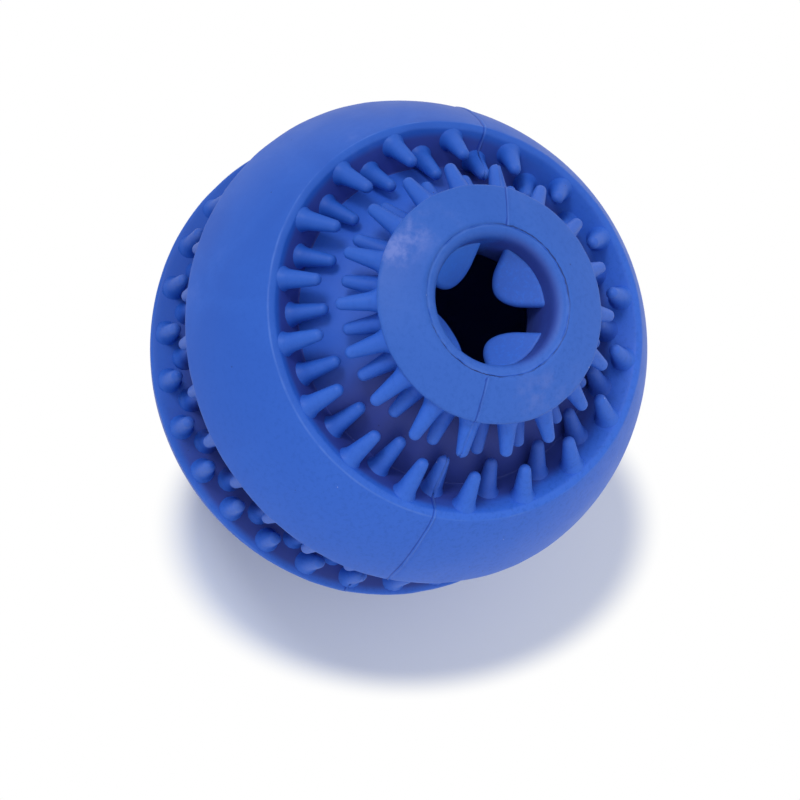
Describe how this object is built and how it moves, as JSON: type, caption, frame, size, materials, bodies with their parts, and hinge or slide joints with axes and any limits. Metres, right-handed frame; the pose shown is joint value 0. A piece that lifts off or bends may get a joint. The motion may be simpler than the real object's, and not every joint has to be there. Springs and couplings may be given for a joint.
{
  "type": "treat dispensing ball",
  "caption": "Hollow rubber treat ball with a flapped mouth at each end, wide chewing bands and grooves full of cone-shaped cleaning nubs.",
  "frame": {"origin": "centre of the rear mouth's rim, on the surface that the ball stands on", "axes": "+Z along the ball's axis, from the rear mouth to the front mouth; +X in the plane of the mould line, between two flaps"},
  "size_m": [0.078, 0.078, 0.0789],
  "materials": {
    "ball_rubber": "matt moulded rubber with a dusty bloom and light scuffs",
    "flap_rubber": "smooth moulded rubber, softer and a little deeper in colour"
  },
  "bodies": {
    "ball": {"front_core": "ball_rubber", "rear_core": "ball_rubber", "front_collar": "ball_rubber", "rear_collar": "ball_rubber", "front_band": "ball_rubber", "rear_band": "ball_rubber", "front_collar_outer_nubs": "ball_rubber", "front_collar_inner_nubs": "ball_rubber", "front_band_outer_nubs": "ball_rubber", "front_band_inner_nubs": "ball_rubber", "front_equator_outer_nubs": "ball_rubber", "front_equator_inner_nubs": "ball_rubber", "rear_collar_outer_nubs": "ball_rubber", "rear_collar_inner_nubs": "ball_rubber", "rear_band_outer_nubs": "ball_rubber", "rear_band_inner_nubs": "ball_rubber", "rear_equator_outer_nubs": "ball_rubber", "rear_equator_inner_nubs": "ball_rubber"},
    "front_flap_1": {"front_flap_1": "flap_rubber"},
    "front_flap_2": {"front_flap_2": "flap_rubber"},
    "front_flap_3": {"front_flap_3": "flap_rubber"},
    "front_flap_4": {"front_flap_4": "flap_rubber"},
    "rear_flap_1": {"rear_flap_1": "flap_rubber"},
    "rear_flap_2": {"rear_flap_2": "flap_rubber"},
    "rear_flap_3": {"rear_flap_3": "flap_rubber"},
    "rear_flap_4": {"rear_flap_4": "flap_rubber"}
  },
  "joints": [
    {"name": "front_flap_1_bend", "type": "hinge", "parent": "ball", "child": "front_flap_1", "pos_m": [0.0058, 0.0058, 0.07216], "axis": [0.7071, -0.7071, 0], "range_deg": [-75, 32], "stiffness_Nm_per_rad": 0.003},
    {"name": "front_flap_2_bend", "type": "hinge", "parent": "ball", "child": "front_flap_2", "pos_m": [-0.0058, 0.0058, 0.07216], "axis": [0.7071, 0.7071, 0], "range_deg": [-75, 32], "stiffness_Nm_per_rad": 0.003},
    {"name": "front_flap_3_bend", "type": "hinge", "parent": "ball", "child": "front_flap_3", "pos_m": [-0.0058, -0.0058, 0.07216], "axis": [-0.7071, 0.7071, 0], "range_deg": [-75, 32], "stiffness_Nm_per_rad": 0.003},
    {"name": "front_flap_4_bend", "type": "hinge", "parent": "ball", "child": "front_flap_4", "pos_m": [0.0058, -0.0058, 0.07216], "axis": [-0.7071, -0.7071, 0], "range_deg": [-75, 32], "stiffness_Nm_per_rad": 0.003},
    {"name": "rear_flap_1_bend", "type": "hinge", "parent": "ball", "child": "rear_flap_1", "pos_m": [0.0058, 0.0058, 0.0067], "axis": [-0.7071, 0.7071, 0], "range_deg": [-75, 32], "stiffness_Nm_per_rad": 0.003},
    {"name": "rear_flap_2_bend", "type": "hinge", "parent": "ball", "child": "rear_flap_2", "pos_m": [-0.0058, 0.0058, 0.0067], "axis": [-0.7071, -0.7071, 0], "range_deg": [-75, 32], "stiffness_Nm_per_rad": 0.003},
    {"name": "rear_flap_3_bend", "type": "hinge", "parent": "ball", "child": "rear_flap_3", "pos_m": [-0.0058, -0.0058, 0.0067], "axis": [0.7071, -0.7071, 0], "range_deg": [-75, 32], "stiffness_Nm_per_rad": 0.003},
    {"name": "rear_flap_4_bend", "type": "hinge", "parent": "ball", "child": "rear_flap_4", "pos_m": [0.0058, -0.0058, 0.0067], "axis": [0.7071, 0.7071, 0], "range_deg": [-75, 32], "stiffness_Nm_per_rad": 0.003}
  ]
}
